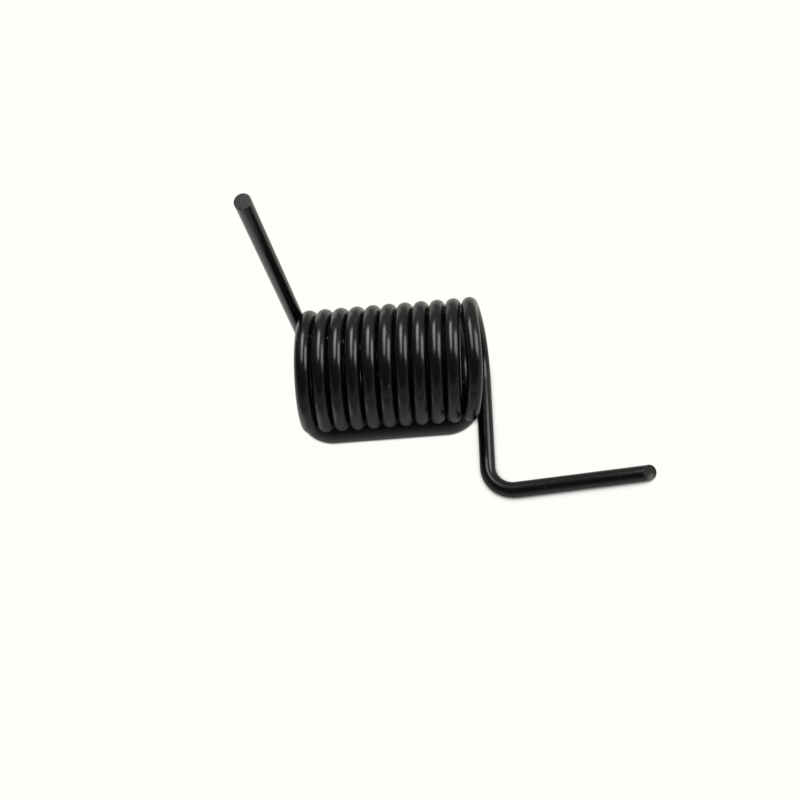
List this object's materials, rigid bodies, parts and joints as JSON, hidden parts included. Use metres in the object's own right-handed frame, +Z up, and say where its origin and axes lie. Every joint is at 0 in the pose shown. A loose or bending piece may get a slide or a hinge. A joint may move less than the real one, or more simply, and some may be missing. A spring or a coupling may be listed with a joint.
{
  "type": "torsion spring",
  "caption": "Close-wound left-hand torsion spring in black round wire, with a straight tangent leg at one end and a leg bent to lie along the axis at the other.",
  "frame": {"origin": "on the coil's axis, half-way along its close-wound length: the middle of the bore that goes over the arbor", "axes": "+X along the coil's axis towards the bent leg's tip, +Z up with the straight leg standing up, -Y the way the bent leg leaves the coil; the coil and the bent leg lie on the plane Z = -10 mm"},
  "size_m": [0.0588, 0.0308, 0.0452],
  "materials": {
    "spring_wire": "black oxide on drawn spring steel, oiled, smooth and glossy"
  },
  "bodies": {
    "root": {"torsion_spring": "spring_wire"}
  },
  "joints": []
}
